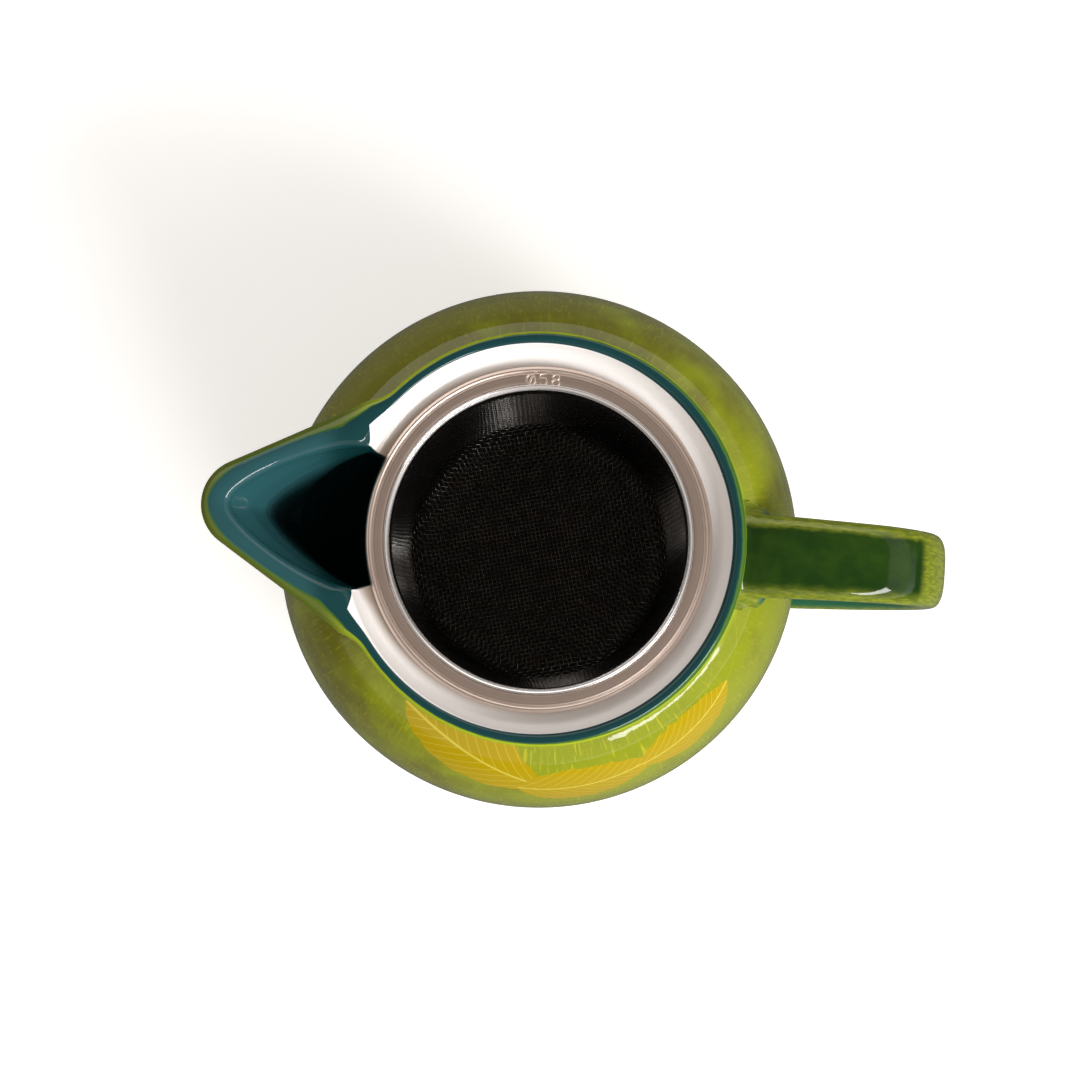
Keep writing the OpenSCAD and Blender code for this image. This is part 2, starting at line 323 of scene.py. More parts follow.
def block_caps():
    """The joint face between pot and beak, facing out of the beak."""
    caps = []
    for col, turned in ((block[0], False), (block[1], True)):
        outer = [index[i, col] for i in range(low_row, crest_row + 1)]
        inner = [index[i, col] for i in range(top_row, crest_row - 1, -1)]
        faces = ladder(outer, inner)
        caps += [f[::-1] for f in faces] if turned else faces
    outer = [index[low_row, j] for j in range(block[0], block[1] + 1)]
    inner = [index[top_row, j] for j in range(block[0], block[1] + 1)]
    return caps + ladder(inner, outer)


def piece_from(name, faces):
    """One piece with only the points that its faces use."""
    used = sorted({q for f in faces for q in f})
    renumber = {q: n for n, q in enumerate(used)}
    marks = {}
    for key, values in marks_grid.items():
        marks[key] = values.reshape(-1, 3)[used] if values.ndim == 3 else values.ravel()[used]
    return make_piece(name, flat_points[used], [[renumber[q] for q in f] for f in faces],
                      flat_normals[used], marks)


caps = block_caps()
beak_faces = skin(block_rows, block_cols) + caps
all_cols = range(n_cols)
pot_faces = skin(range(0, low_row), all_cols) + skin(range(top_row, n_rows - 1), all_cols)
pot_faces += skin(block_rows, range(block[1], n_cols + block[0])) + [f[::-1] for f in caps]
pot = piece_from("glazed_pot", pot_faces)
beak = piece_from("beak_spout", beak_faces)

# Glaze: each colour is laid out along the surface by "run", the distance from the lip's crest, so
# that every band keeps its width round the rim and out along the beak.
def new_material(name):
    """A material with its node tree, and its shader."""
    made = bpy.data.materials.new(name)
    made.use_nodes = True
    return made, made.node_tree, made.node_tree.nodes["Principled BSDF"]


def feed(tree, socket, value):
    """Links a socket to an output, or sets it to a number or colour."""
    if isinstance(value, bpy.types.NodeSocket):
        tree.links.new(value, socket)
    elif isinstance(value, (tuple, list)):
        socket.default_value = tuple(value) + (1,) * (len(socket.default_value) - len(value))
    else:
        socket.default_value = value


def calc(tree, operation, *values):
    """A Math node on numbers or outputs."""
    node = tree.nodes.new("ShaderNodeMath")
    node.operation = operation
    for socket, value in zip(node.inputs, values):
        feed(tree, socket, value)
    return node.outputs[0]


def between(tree, value, start, stop, low=0.0, high=1.0):
    """Runs smoothly from low to high while value goes from start to stop."""
    node = tree.nodes.new("ShaderNodeMapRange")
    node.interpolation_type = "SMOOTHSTEP"
    for socket, number in zip(node.inputs, (value, start, stop, low, high)):
        feed(tree, socket, number)
    return node.outputs[0]


def blend(tree, share, under, over):
    """Colour under, covered by colour over where share is 1."""
    node = tree.nodes.new("ShaderNodeMix")
    node.data_type = "RGBA"
    for key, value in ((0, share), (6, under), (7, over)):
        feed(tree, node.inputs[key], value)
    return node.outputs[2]


def grain(tree, vector, scale, detail=2.0, stretch=(1, 1, 1), shift=(0, 0, 0)):
    """Noise from 0 to 1; stretch scales the pattern's three directions, in cycles per millimetre."""
    place = tree.nodes.new("ShaderNodeMapping")
    place.inputs["Scale"].default_value = [scale * s for s in stretch]
    place.inputs["Location"].default_value = shift
    feed(tree, place.inputs["Vector"], vector)
    node = tree.nodes.new("ShaderNodeTexNoise")
    node.inputs["Scale"].default_value = 1
    node.inputs["Detail"].default_value = detail
    tree.links.new(place.outputs[0], node.inputs["Vector"])
    return node.outputs[0]


def field(tree, name, vector=False):
    """A value stored on the piece's points."""
    node = tree.nodes.new("ShaderNodeAttribute")
    node.attribute_name = name
    return node.outputs["Vector"] if vector else node.outputs["Fac"]


def in_mm(tree):
    """Object coordinates in millimetres."""
    place = tree.nodes.new("ShaderNodeTexCoord")
    node = tree.nodes.new("ShaderNodeVectorMath")
    node.operation = "SCALE"
    tree.links.new(place.outputs["Object"], node.inputs[0])
    node.inputs["Scale"].default_value = 1000
    return node.outputs[0]


def glaze_skin(tree, shader, spot, strength=0.05):
    """Gives a fired glaze its gloss: low roughness, and a faint ripple in the surface."""
    ripple = grain(tree, spot, 0.22, 2.0)
    fine = grain(tree, spot, 1.1, 2.0)
    feed(tree, shader.inputs["Roughness"], between(tree, fine, 0.3, 0.8, 0.045, 0.085))
    shader.inputs["IOR"].default_value = 1.38
    bump = tree.nodes.new("ShaderNodeBump")
    bump.inputs["Strength"].default_value = strength
    bump.inputs["Distance"].default_value = 0.0012
    feed(tree, bump.inputs["Height"], calc(tree, "ADD", ripple, calc(tree, "MULTIPLY", fine, 0.08)))
    tree.links.new(bump.outputs[0], shader.inputs["Normal"])


def pinholes(tree, spot, cell, size):
    """1 at a few tiny pits, 0 elsewhere."""
    node = tree.nodes.new("ShaderNodeTexVoronoi")
    node.inputs["Scale"].default_value = 1 / cell
    tree.links.new(spot, node.inputs["Vector"])
    return between(tree, node.outputs["Distance"], size / cell * 1.6, size / cell * 0.6)


def leaf_shape(tree, place, tail, tip, width, bow, seed):
    """A painted leaf from tail to tip on the unrolled shoulder. Returns its body and its veins.
    bow bends it sideways; seed shifts the raggedness of its edge."""
    dx, dy = tip[0] - tail[0], tip[1] - tail[1]
    size, turn = math.hypot(dx, dy), math.atan2(dy, dx)
    turned = tree.nodes.new("ShaderNodeMapping")
    turned.vector_type = "TEXTURE"
    turned.inputs["Location"].default_value = (tail[0], tail[1], 0)
    turned.inputs["Rotation"].default_value = (0, 0, turn)
    turned.inputs["Scale"].default_value = (size, size, size)
    feed(tree, turned.inputs["Vector"], place)
    split = tree.nodes.new("ShaderNodeSeparateXYZ")
    tree.links.new(turned.outputs[0], split.inputs[0])
    p = split.outputs[0]
    arch = calc(tree, "MULTIPLY", calc(tree, "MULTIPLY", p, calc(tree, "SUBTRACT", 1.0, p)), bow * 4)
    q = calc(tree, "SUBTRACT", split.outputs[1], arch)
    aside = calc(tree, "ABSOLUTE", q)
    safe = calc(tree, "MINIMUM", calc(tree, "MAXIMUM", p, 0.0), 1.0)
    to_tip = calc(tree, "POWER", calc(tree, "SUBTRACT", 1.0, safe), 0.85)
    shape = calc(tree, "MULTIPLY", calc(tree, "POWER", safe, 0.62), to_tip)
    rag = grain(tree, turned.outputs[0], 9.0, 3.0, shift=(seed, seed * 2, 0))
    half_w = calc(tree, "MULTIPLY", shape, calc(tree, "MULTIPLY_ADD", rag, 0.5 * width, width * 0.95))
    body = between(tree, calc(tree, "SUBTRACT", half_w, aside), -0.004, 0.006)
    slant = calc(tree, "MULTIPLY_ADD", aside, -1.15, p)
    rib = calc(tree, "PINGPONG", calc(tree, "MULTIPLY", slant, 11.0), 0.5)
    rib = between(tree, rib, 0.07, 0.015)
    middle_rib = between(tree, aside, 0.013, 0.004)
    veins = calc(tree, "MULTIPLY", body, calc(tree, "MAXIMUM", middle_rib, calc(tree, "MULTIPLY", rib, 0.6)))
    return body, veins


teal, teal_deep = (0.02, 0.08, 0.09), (0.006, 0.042, 0.045)
lime, olive, leafy = (0.34, 0.42, 0.012), (0.15, 0.15, 0.014), (0.24, 0.275, 0.012)
stroke_yellow, leaf_yellow, biscuit = (0.42, 0.42, 0.03), (0.4, 0.28, 0.001), (0.72, 0.64, 0.54)
seat_white, seat_shade = (0.86, 0.84, 0.82), (0.36, 0.29, 0.24)


def paint_body(name, seat_band):
    """Glaze of pot and beak, which share their bands. seat_band adds the white ledge, with painted shade
    towards the strainer ring.
    """
    made, tree, shader = new_material(name)
    spot, run, wrap = in_mm(tree), field(tree, "run"), field(tree, "wrap", True)
    wobble = calc(tree, "MULTIPLY_ADD", grain(tree, wrap, 0.35, 3.0), 0.5, -0.25)
    edge = calc(tree, "ADD", run, wobble)
    clouds_and_painted_light = grain(tree, spot, 0.09, 3.0)
    # The clouds lean toward the lighter green on the side facing the key light and toward olive on the far
    # side: painted light and shade.
    side = tree.nodes.new("ShaderNodeVectorMath")
    side.operation = "DOT_PRODUCT"
    side.inputs[1].default_value = (0.0035, -0.0029, 0)
    tree.links.new(spot, side.inputs[0])
    clouds_and_painted_light = calc(tree, "ADD", clouds_and_painted_light, side.outputs["Value"])
    colour = blend(tree, between(tree, clouds_and_painted_light, 0.3, 0.7), olive, leafy)
    lean = grain(tree, wrap, 1.0, 1.0, (0.05, 0.05, 0.05))
    hair = grain(tree, wrap, 1.0, 2.0, (2.1, 2.1, 0.16), (3, 7, 0))
    hair2 = grain(tree, wrap, 1.0, 2.0, (1.3, 1.3, 0.4), (9, 1, 4))
    short = calc(tree, "MULTIPLY", between(tree, hair2, 0.56, 0.7), 0.75)
    lines = calc(tree, "MAXIMUM", between(tree, hair, 0.6, 0.72), short)
    lines = calc(tree, "MULTIPLY", lines, between(tree, lean, 0.3, 0.6, 0.35, 1.0))
    colour = blend(tree, calc(tree, "MULTIPLY", lines, 0.3), colour, stroke_yellow)
    colour = blend(tree, between(tree, edge, 30, 75, 0, 0.35), colour, olive)
    colour = blend(tree, between(tree, edge, 12.5, 10.5), colour, lime)
    place = field(tree, "leaf", True)
    hairs = between(tree, grain(tree, wrap, 1.0, 1.0, (1.5, 1.5, 0.12), (5, 2, 8)), 0.63, 0.69)
    split = tree.nodes.new("ShaderNodeSeparateXYZ")
    tree.links.new(place, split.inputs[0])
    aside = calc(tree, "ABSOLUTE", calc(tree, "SUBTRACT", split.outputs[0], 6.0))
    around_leaves = between(tree, aside, 44, 30)
    around_leaves = calc(tree, "MULTIPLY", around_leaves, between(tree, run, 24, 18))
    hairs = calc(tree, "MULTIPLY", calc(tree, "MULTIPLY", hairs, around_leaves), between(tree, run, 9, 11))
    colour = blend(tree, calc(tree, "MULTIPLY", hairs, 0.6), colour, (0.5, 0.46, 0.02))
    leaves = (((4.5, 24.5), (-28.0, 14.5), 0.56, 0.06, 1.0), ((0.5, 26.5), (28.5, 23.0), 0.62, 0.05, 4.0),
              ((25.0, 24.5), (48.5, 18.5), 0.62, 0.04, 7.0))
    for tail, tip, width, bow, seed in leaves:
        body, veins = leaf_shape(tree, place, tail, tip, width, bow, seed)
        colour = blend(tree, calc(tree, "MULTIPLY", body, 0.94), colour, leaf_yellow)
        colour = blend(tree, calc(tree, "MULTIPLY", veins, 0.55), colour, (0.72, 0.62, 0.1))
    split = tree.nodes.new("ShaderNodeSeparateXYZ")
    tree.links.new(spot, split.inputs[0])
    beak_side = between(tree, split.outputs[0], -30, -41)
    beak_green = calc(tree, "MULTIPLY", between(tree, edge, 12.0, 5.0, 0.0, 0.9), beak_side)
    colour = blend(tree, beak_green, colour, (0.07, 0.1, 0.012))
    colour = blend(tree, between(tree, edge, 1.9, 1.4), colour, (0.05, 0.13, 0.015))
    side = calc(tree, "MAXIMUM", calc(tree, "MULTIPLY", split.outputs[0], 0.022), 0.0)
    rim = between(tree, calc(tree, "ADD", edge, side), 1.5, 1.0)
    toward_tip = between(tree, split.outputs[0], -38, -46)
    thin = calc(tree, "MULTIPLY_ADD", grain(tree, spot, 0.15, 2.0), 0.5, toward_tip)
    glass_and_painted_shade = blend(tree, between(tree, thin, 0.2, 1.3), teal_deep, teal)
    # From 12 to 26 mm below the crest the teal turns near black: painted shade deep inside the pot and beak.
    glass_and_painted_shade = blend(tree, between(tree, run, -12, -26), glass_and_painted_shade, (0.004, 0.014, 0.015))
    colour = blend(tree, rim, colour, glass_and_painted_shade)
    if seat_band:
        notch = field(tree, "notch")
        white = calc(tree, "MULTIPLY", between(tree, run, -2.0, -2.25), between(tree, notch, 0.6, 0.4))
        white = calc(tree, "MULTIPLY", white, between(tree, run, -19.0, -17.5))
        # The white ledge darkens to brown-grey towards the strainer ring: painted shade.
        china_and_painted_shade = blend(tree, between(tree, run, -9.5, -12.2), seat_white, seat_shade)
        china_and_painted_shade = blend(tree, pinholes(tree, spot, 17.0, 0.3), china_and_painted_shade, (0.2, 0.15, 0.1))
        colour = blend(tree, white, colour, china_and_painted_shade)
        foot_face = between(tree, split.outputs[2], 0.5, 0.2)
        bare = calc(tree, "MULTIPLY", foot_face, between(tree, run, 60.0, 61.0))
        colour = blend(tree, bare, colour, biscuit)
    feed(tree, shader.inputs["Base Color"], colour)
    glaze_skin(tree, shader, spot)
    return made


pot.data.materials.append(paint_body("olive_glaze", True))
beak.data.materials.append(paint_body("beak_glaze", False))

for piece, node, slot in ((pot, "pot_body", "body_glaze"), (beak, "spout", "spout_glaze")):
    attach(piece, "pot")
    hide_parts(node)

# ---- Handle -----------------------------------------------------------------------------------
# A strap of porcelain, cast apart and luted on at the neck and low on the belly. Its section is a
# flat oval; at each end the slip is wiped into a fillet that runs out on the pot's wall.
handle_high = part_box("handle")[1]
strap_w, strap_t, root = 16.9, 6.6, 2.6
strap_top = 82.6
line_z, line_x = strap_top - strap_t / 2, handle_high.x / MM - strap_t / 2
strap_line = np.vstack([
    [(38.0, line_z - 2.4)],
    bezier([(38.0, line_z - 2.4), (44.6, line_z - 1.4), (47.6, line_z), (52.6, line_z)], 40),
    bezier([(52.6, line_z), (line_x - 20, line_z), (line_x - 15, line_z), (line_x - 11, line_z - 1.6)], 24),
    bezier([(line_x - 11, line_z - 1.6), (line_x - 4, line_z - 4.6), (line_x, line_z - 11),
            (line_x, line_z - 19)], 30),
    bezier([(line_x, line_z - 19), (line_x, line_z - 35), (belly_r + 12, 32), (belly_r - 6, 27)], 60)])
length = np.concatenate([[0], np.cumsum(np.linalg.norm(np.diff(strap_line, axis=0), axis=1))])
total = length[-1]
wall_line = np.vstack([under_part[-6:], belly_part])


def strap_frame(s):
    """Middle, heading and share of the way at length s along the strap's line."""
    mid = np.stack([np.interp(s, length, strap_line[:, k]) for k in (0, 1)], -1)
    ahead, behind = np.clip(s + 0.6, 0, total), np.clip(s - 0.6, 0, total)
    head = np.stack([np.interp(ahead, length, strap_line[:, k]) - np.interp(behind, length, strap_line[:, k])
                     for k in (0, 1)], -1)
    return mid, head / np.linalg.norm(head, axis=-1, keepdims=True), s / total


strap_sides = 56
around = np.linspace(0, 2 * math.pi, strap_sides, endpoint=False)
flat_y = np.sign(np.cos(around)) * np.abs(np.cos(around)) ** 0.62
flat_o = np.sign(np.sin(around)) * np.abs(np.sin(around)) ** 0.72


def strap_point(s, k, grow):
    """Point of the strap at length s and section place k, pushed out by grow."""
    mid, head, share = strap_frame(s)
    w = strap_w / 2 * (1 - 0.11 * np.sin(math.pi * share))
    t = strap_t / 2
    ny, no = flat_y[k] / w, flat_o[k] / t
    ny, no = ny / np.hypot(ny, no), no / np.hypot(ny, no)
    y = w * flat_y[k] + grow * ny
    o = t * flat_o[k] + grow * no
    return np.stack([mid[..., 0] - head[..., 1] * o, y, mid[..., 1] + head[..., 0] * o], -1)


def off_wall(p):
    """Distance of points from the pot's outside, less than 0 within it."""
    q = np.stack([np.hypot(p[..., 0], p[..., 1]), p[..., 2]], -1).reshape(-1, 1, 2)
    a, b = wall_line[None, :-1], wall_line[None, 1:]
    d = b - a
    t = np.clip(((q - a) * d).sum(2) / np.maximum((d * d).sum(2), 1e-9), 0, 1)
    gap = q - (a + t[..., None] * d)
    far = np.linalg.norm(gap, axis=2)
    near = far.argmin(1)
    pick = np.arange(len(far))
    out = d[0, near][:, 1] * gap[pick, near][:, 0] - d[0, near][:, 0] * gap[pick, near][:, 1]
    return (np.sign(out) * far[pick, near]).reshape(p.shape[:-1])


def root_rings(from_start):
    """Rings of the fillet, from the wall out to where the plain strap begins."""
    count = 12
    gaps = root * (np.arange(count + 1) / count) ** 2
    rings = []
    for gap in gaps:
        grow = (math.sqrt(root) - math.sqrt(gap)) ** 2
        lo = np.zeros(strap_sides) if from_start else np.full(strap_sides, total)
        hi = np.full(strap_sides, 22.0 if from_start else total - 30.0)
        k = np.arange(strap_sides)
        for _ in range(30):
            s = (lo + hi) / 2
            near = off_wall(strap_point(s, k, grow)) < gap
            lo, hi = np.where(near, s, lo), np.where(near, hi, s)
        rings.append(((lo + hi) / 2, grow))
    return rings


start_rings, end_rings = root_rings(True), root_rings(False)[::-1]
stations = [(s, grow) for s, grow in start_rings]
plain = np.linspace(0, 1, 110)[1:-1, None]
a, b = start_rings[-1][0], end_rings[0][0]
stations += [(a + (b - a) * p, 0.0) for p in plain]
stations += [(s, grow) for s, grow in end_rings]
sides = np.arange(strap_sides)
strap = np.array([strap_point(s, sides, grow) for s, grow in stations])
n_st = len(stations)
ends = []
for ring, first in ((0, True), (n_st - 1, False)):
    hub = strap[ring].mean(0)
    hub_r = np.hypot(hub[0], hub[1])
    ends.append(hub - np.array([hub[0], hub[1], 0]) / hub_r * 1.2)
strap_points = np.vstack([strap.reshape(-1, 3), ends])
handle_turn = math.radians(1.5)  # and the handle this far off it
strap_points[:, 0], strap_points[:, 1] = (
    strap_points[:, 0] * math.cos(handle_turn) - strap_points[:, 1] * math.sin(handle_turn),
    strap_points[:, 0] * math.sin(handle_turn) + strap_points[:, 1] * math.cos(handle_turn))
strap_faces = []
for i in range(n_st - 1):
    for k in range(strap_sides):
        m = (k + 1) % strap_sides
        here, on = i * strap_sides, (i + 1) * strap_sides
        strap_faces.append([here + k, here + m, on + m, on + k])
hub0, hub1 = n_st * strap_sides, n_st * strap_sides + 1
for k in range(strap_sides):
    m = (k + 1) % strap_sides
    strap_faces.append([hub0, m, k])
    strap_faces.append([hub1, (n_st - 1) * strap_sides + k, (n_st - 1) * strap_sides + m])
strap_marks = {
    "along": np.concatenate([np.concatenate([s + 0 * sides for s, _ in stations]), [0, total]]),
    "face": np.concatenate([np.tile(flat_o, n_st), [0, 0]]),
    "edge": np.concatenate([np.tile(flat_y, n_st), [0, 0]])}
handle = make_piece("strap_handle", strap_points, strap_faces, marks=strap_marks)
strap_glaze, tree, shader = new_material("strap_glaze")
spot, face, rim_side, along = in_mm(tree), field(tree, "face"), field(tree, "edge"), field(tree, "along")
drift = calc(tree, "MULTIPLY_ADD", grain(tree, spot, 0.3, 3.0), 0.2, -0.1)
side_place = calc(tree, "ADD", rim_side, drift)
flat = calc(tree, "MULTIPLY", between(tree, side_place, 0.8, 0.62), between(tree, side_place, -1.0, -0.6))
flat = calc(tree, "MULTIPLY", flat, between(tree, along, 39, 36.5))
flat = calc(tree, "MULTIPLY", flat, between(tree, face, 0.0, 0.4))
streak = grain(tree, spot, 1.0, 3.0, (0.5, 2.0, 0.5))
edge_green = blend(tree, between(tree, streak, 0.35, 0.7), (0.13, 0.17, 0.016), (0.24, 0.27, 0.02))
pooled = between(tree, grain(tree, spot, 0.2, 3.0), 0.3, 0.7)
top_green = blend(tree, pooled, (0.008, 0.032, 0.003), (0.018, 0.05, 0.004))
colour = blend(tree, flat, edge_green, top_green)
colour = blend(tree, between(tree, face, -0.2, -0.75), colour, (0.02, 0.12, 0.07))
feed(tree, shader.inputs["Base Color"], colour)
glaze_skin(tree, shader, spot)
handle.data.materials.append(strap_glaze)
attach(handle, "pot")
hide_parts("handle")

# ---- Strainer flange ---------------------------------------------------------------------------
# Pressed from stainless sheet: a flat ring whose outer edge is rolled over a bead, with a short
# collar turned down inside it. Its nominal diameter in millimetres is stamped up on the flat.
def revolve(name, section, segments):
    """A closed section in (radius, height above the seat), turned about the pot's axis."""
    section = np.array(section, float)
    area = np.sum(section[:, 0] * np.roll(section[:, 1], -1) - np.roll(section[:, 0], -1) * section[:, 1])
    if area < 0:
        section = section[::-1]
    turns = np.linspace(0, 2 * math.pi, segments, endpoint=False)
    count = len(section)
    points = np.array([[s[0] * math.cos(t), s[0] * math.sin(t), seat_z + s[1]]
                       for t in turns for s in section])
    faces = []
    for i in range(segments):
        for k in range(count):
            a, b = i * count + k, i * count + (k + 1) % count
            c, d = ((i + 1) % segments) * count + (k + 1) % count, ((i + 1) % segments) * count + k
            faces.append([a, d, c, b])
    return make_piece(name, points, faces)


def arc_line(centre, radius, start, stop, count):
    """Points on an arc; angles in degrees."""
    a = np.radians(np.linspace(start, stop, count))
    return [(centre[0] + radius * math.cos(t), centre[1] + radius * math.sin(t)) for t in a]


roll = 0.9
roll_c = (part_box("strainer_flange")[1].x / MM - roll, roll)
flange_line = eased([(29.85, 1.8), (29.85, -3.5), (30.3, -3.5), (30.3, 1.15),
                     (32.3, 1.15)], 0.25, 3).tolist()
flange_line += arc_line(roll_c, roll, 200, 440, 26)
flange_line += eased([(32.95, 1.66), (32.8, 1.52), (32.62, 1.56), (32.45, 1.8), (31.2, 1.8),
                      (29.85, 1.8)], 0.12, 3).tolist()[:-1]
flange = revolve("strainer_flange_ring", flange_line, 240)

glyphs = {
    "diameter": [[(0.95 * math.cos(t) * 0.9, 1.02 * math.sin(t))
                  for t in np.linspace(0.9, 0.9 + 2 * math.pi, 20)],
                 [(-0.62, -1.2), (0.62, 1.2)]],
    "five": [[(0.7, 1.1), (-0.55, 1.1), (-0.68, 0.18), (-0.1, 0.38), (0.5, 0.22), (0.76, -0.35),
              (0.5, -0.95), (-0.1, -1.14), (-0.72, -0.86)]],
    "eight": [[(0.62 * math.sin(t), 0.6 + 0.5 * math.cos(t))
               for t in np.linspace(0, 2 * math.pi, 16)],
              [(0.76 * math.sin(t), -0.52 + 0.62 * math.cos(t))
               for t in np.linspace(0, 2 * math.pi, 18)]]}
mark_r, mark_turn, mark_step = 31.25, math.radians(93.9), 2.45
mark_level = seat_z + flange_top
stroke_points, stroke_edges = [], []
for place, name in enumerate(("diameter", "five", "eight")):
    for stroke in glyphs[name]:
        first = len(stroke_points)
        for gx, gy in stroke:
            turned = mark_turn - ((place - 1) * mark_step + gx) / mark_r
            reach = mark_r + gy
            stroke_points.append((
                reach * math.cos(turned) * MM, reach * math.sin(turned) * MM, mark_level * MM))
        stroke_edges += [(n, n + 1) for n in range(first, len(stroke_points) - 1)]


def tube_tree(name, material):
    """Sweeps every edge line of a piece into a round tube with closed ends."""
    tree = bpy.data.node_groups.new(name, "GeometryNodeTree")
    face = tree.interface
    face.new_socket("Lines", in_out="INPUT", socket_type="NodeSocketGeometry")
    radius = face.new_socket("Radius", in_out="INPUT", socket_type="NodeSocketFloat")
    corners = face.new_socket("Sides", in_out="INPUT", socket_type="NodeSocketInt")
    face.new_socket("Tubes", in_out="OUTPUT", socket_type="NodeSocketGeometry")
    new = tree.nodes.new
    start, stop = new("NodeGroupInput"), new("NodeGroupOutput")
    to_curve = new("GeometryNodeMeshToCurve")
    ring = new("GeometryNodeCurvePrimitiveCircle")
    sweep = new("GeometryNodeCurveToMesh")
    real = new("GeometryNodeRealizeInstances")
    paint = new("GeometryNodeSetMaterial")
    smooth = new("GeometryNodeSetShadeSmooth")
    sweep.inputs["Fill Caps"].default_value = True
    paint.inputs["Material"].default_value = material
    link = tree.links.new
    link(start.outputs["Lines"], to_curve.inputs["Mesh"])
    link(start.outputs["Radius"], ring.inputs["Radius"])
    link(start.outputs["Sides"], ring.inputs["Resolution"])
    link(to_curve.outputs["Curve"], sweep.inputs["Curve"])
    link(ring.outputs["Curve"], sweep.inputs["Profile Curve"])
    link(sweep.outputs["Mesh"], smooth.inputs["Geometry"])
    link(smooth.outputs["Geometry"], real.inputs["Geometry"])
    link(real.outputs["Geometry"], paint.inputs["Geometry"])
    link(paint.outputs["Geometry"], stop.inputs["Tubes"])
    return tree, radius.identifier, corners.identifier


def sweep_lines(name, points, edges, radius, sides, material):
    """Lines in metres made into tubes and kept as a plain mesh piece."""
    lines = bpy.data.meshes.new(name + "_lines")
    lines.from_pydata(points, edges, [])
    carrier = bpy.data.objects.new(name + "_lines", lines)
    bpy.context.scene.collection.objects.link(carrier)
    tree, radius_id, sides_id = tube_tree(name + "_sweep", material)
    modifier = carrier.modifiers.new("sweep", "NODES")
    modifier.node_group = tree
    modifier[radius_id] = radius
    modifier[sides_id] = sides
    bpy.context.view_layer.update()
    graph = bpy.context.evaluated_depsgraph_get()
    mesh = bpy.data.meshes.new_from_object(carrier.evaluated_get(graph))
    carrier.modifiers.clear()
    bpy.data.objects.remove(carrier)
    piece = bpy.data.objects.new(name, mesh)
    bpy.context.scene.collection.objects.link(piece)
    return piece


def turned_steel(name, tint, dull, rings):
    """Steel with the fine rings that turning and polishing leave in it."""
    made, tree, shader = new_material(name)
    spot = in_mm(tree)
    flat_spot = tree.nodes.new("ShaderNodeVectorMath")
    flat_spot.operation = "MULTIPLY"
    flat_spot.inputs[1].default_value = (1, 1, 0)
    tree.links.new(spot, flat_spot.inputs[0])
    length = tree.nodes.new("ShaderNodeVectorMath")
    length.operation = "LENGTH"
    tree.links.new(flat_spot.outputs[0], length.inputs[0])
    radius = tree.nodes.new("ShaderNodeCombineXYZ")
    tree.links.new(length.outputs["Value"], radius.inputs[0])
    line = grain(tree, radius.outputs[0], 4.5, 3.0)
    smear = grain(tree, spot, 0.25, 3.0)
    smear = calc(tree, "MULTIPLY_ADD", smear, 0.2, -0.1)
    tone = calc(tree, "MULTIPLY_ADD", calc(tree, "SUBTRACT", line, 0.5), rings, smear)
    worn = [0.55 * c for c in tint]
    feed(tree, shader.inputs["Base Color"], blend(tree, calc(tree, "ADD", tone, 0.5), worn, tint))
    feed(tree, shader.inputs["Roughness"], calc(tree, "MULTIPLY_ADD", line, 0.12, dull))
    shader.inputs["Metallic"].default_value = 1
    bump = tree.nodes.new("ShaderNodeBump")
    bump.inputs["Strength"].default_value = 0.25
    bump.inputs["Distance"].default_value = 0.00004
    tree.links.new(line, bump.inputs["Height"])
    tree.links.new(bump.outputs[0], shader.inputs["Normal"])
    return made


satin = turned_steel("satin_steel", (0.92, 0.77, 0.68), 0.3, 1.3)
flange.data.materials.append(satin)
mark = sweep_lines("size_mark", stroke_points, stroke_edges, 0.24 * MM, 8, satin)
for piece in (flange, mark):
    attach(piece, "strainer")
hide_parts("strainer_flange")

# ---- Clamp ring --------------------------------------------------------------------------------
# A bright spun ring pressed down inside the collar. It traps the edge of the wire cloth, and its
# polished bevel is the lip of the strainer's mouth.
clamp_line = eased([(29.0, 1.2), (29.0, -3.5), (29.45, -3.5), (29.45, 1.82), (30.3, 1.82), (30.3, 2.05),
                    (30.05, 2.2), (29.25, 1.6)], 0.12, 3).tolist()
clamp = revolve("bright_clamp_ring", clamp_line, 240)
polished = turned_steel("polished_steel", (0.85, 0.82, 0.81), 0.1, 0.5)
clamp.data.materials.append(polished)
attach(clamp, "strainer")
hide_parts("clamp_ring")

# ---- Wire cloth cup ----------------------------------------------------------------------------
# Plain-woven stainless wire cloth, drawn into a deep cup without cutting or pleating it. The mesh
# lies square on the floor, shears on the diagonals of the wall, and hangs from the clamp ring.
pitch, wire_r, wave = 0.845, 0.14, 0.135
cup_low, cup_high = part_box("mesh_basket")
floor_level, floor_r, corner_r = cup_low.z / MM + 0.2, 23.0, 4.3
cup_top_r, clamp_low = cup_high.x / MM - 0.2, seat_z - 3.5
draw = 0.8       # how much of the cloth's width each millimetre of wall takes up
weave_turn = math.radians(16)
bend = np.radians(np.linspace(-90, 0, 24))
cup_line = np.vstack([
    np.column_stack([floor_r + corner_r * np.cos(bend), floor_level + corner_r + corner_r * np.sin(bend)]),
    [(cup_top_r, clamp_low - 1.0), (cup_top_r, clamp_low + 0.6)]])
cup_len = np.concatenate([[0], np.cumsum(np.linalg.norm(np.diff(cup_line, axis=0), axis=1))])


